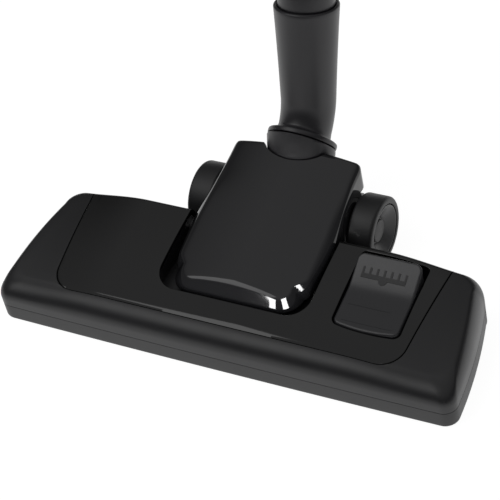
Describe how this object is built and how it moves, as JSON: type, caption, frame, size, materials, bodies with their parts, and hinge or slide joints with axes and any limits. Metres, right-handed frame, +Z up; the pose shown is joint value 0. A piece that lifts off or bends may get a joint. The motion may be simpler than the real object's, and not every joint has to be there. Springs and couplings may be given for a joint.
{
  "type": "canister vacuum cleaner floor head",
  "caption": "Wide combination floor head of a canister vacuum cleaner: nozzle with foot pedal and retracting bristles, tilting hooded joint on two wheels, and a bent swivel neck.",
  "frame": {"origin": "point on the flat sole, at the middle of the nozzle's width and depth, on the floor plane", "axes": "+X along the nozzle's width to the pedal's side, -Y to the front edge that leads when pushing, +Z up"},
  "size_m": [0.281, 0.1938, 0.1748],
  "materials": {
    "base_plastic": "fine-grained dark grey moulded plastic",
    "satin_plastic": "satin charcoal moulded plastic with a fine grain",
    "gloss_trim": "polished black plastic",
    "inner_plastic": "plain black moulded plastic",
    "wheel_plastic": "satin dark grey moulded plastic",
    "tyre_rubber": "matte soft black tread",
    "seal_rubber": "matte black rubber",
    "sole_steel": "brushed stainless sheet",
    "fastener_steel": "zinc-plated steel",
    "lint_fabric": "short red lint velour",
    "bristle": "dense black nylon bristle",
    "wand_plastic": "smooth black plastic tube"
  },
  "bodies": {
    "nozzle": {"base_shell": "base_plastic", "top_shell": "satin_plastic", "trim_panel": "gloss_trim", "sole_plate": "sole_steel", "lint_strip_left": "lint_fabric", "lint_strip_right": "lint_fabric", "air_duct": "inner_plastic", "duct_seal": "seal_rubber", "base_screw_1": "fastener_steel", "base_screw_2": "fastener_steel", "base_screw_3": "fastener_steel", "base_screw_4": "fastener_steel", "base_screw_5": "fastener_steel", "base_screw_6": "fastener_steel", "pedal_pin": "fastener_steel", "carrier_spring_left": "fastener_steel", "carrier_spring_right": "fastener_steel", "axle": "fastener_steel", "axle_cap_left": "inner_plastic", "axle_cap_right": "inner_plastic", "wheel_spacer_left": "inner_plastic", "wheel_spacer_right": "inner_plastic"},
    "wheel_left": {"tyre_left": "tyre_rubber", "wheel_hub_left": "wheel_plastic"},
    "wheel_right": {"tyre_right": "tyre_rubber", "wheel_hub_right": "wheel_plastic"},
    "tilt_housing": {"tilt_barrel": "inner_plastic", "barrel_end_left": "inner_plastic", "barrel_end_right": "inner_plastic", "swivel_socket": "satin_plastic", "hood": "gloss_trim"},
    "neck": {"neck_elbow": "satin_plastic", "retaining_ring": "inner_plastic"},
    "wand_tube": {"wand_sleeve": "wand_plastic"},
    "pedal": {"pedal": "satin_plastic"},
    "brush_carrier": {"brush_carrier": "inner_plastic", "bristle_strip_front": "bristle", "bristle_strip_rear_left": "bristle", "bristle_strip_rear_right": "bristle"}
  },
  "joints": [
    {"name": "head_tilt", "type": "hinge", "parent": "nozzle", "child": "tilt_housing", "pos_m": [0, 0.0663, 0.0206], "axis": [-1, 0, 0], "range_deg": [0, 48]},
    {"name": "neck_swivel", "type": "hinge", "parent": "tilt_housing", "child": "neck", "pos_m": [0, 0.0908, 0.0537], "axis": [0, 0.8387, 0.5446], "continuous": true},
    {"name": "wand_slide", "type": "slide", "parent": "neck", "child": "wand_tube", "axis": [0, 0.2924, 0.9563], "range_m": [0, 0.026]},
    {"name": "wheel_left_spin", "type": "hinge", "parent": "nozzle", "child": "wheel_left", "pos_m": [-0.0508, 0.0663, 0.0206], "axis": [1, 0, 0], "continuous": true},
    {"name": "wheel_right_spin", "type": "hinge", "parent": "nozzle", "child": "wheel_right", "pos_m": [0.0508, 0.0663, 0.0206], "axis": [1, 0, 0], "continuous": true},
    {"name": "pedal_rock", "type": "hinge", "parent": "nozzle", "child": "pedal", "pos_m": [0.0815, 0.01, 0.02819], "axis": [-1, 0, 0], "range_deg": [0, 20]},
    {"name": "brush_lower", "type": "slide", "parent": "nozzle", "child": "brush_carrier", "axis": [0, 0, -1], "range_m": [0, 0.0046], "deforming": ["carrier_spring_left", "carrier_spring_right"]}
  ],
  "couplings": [
    {"joint": "brush_lower", "follows": "pedal_rock", "m_per_rad": 0.012892}
  ]
}
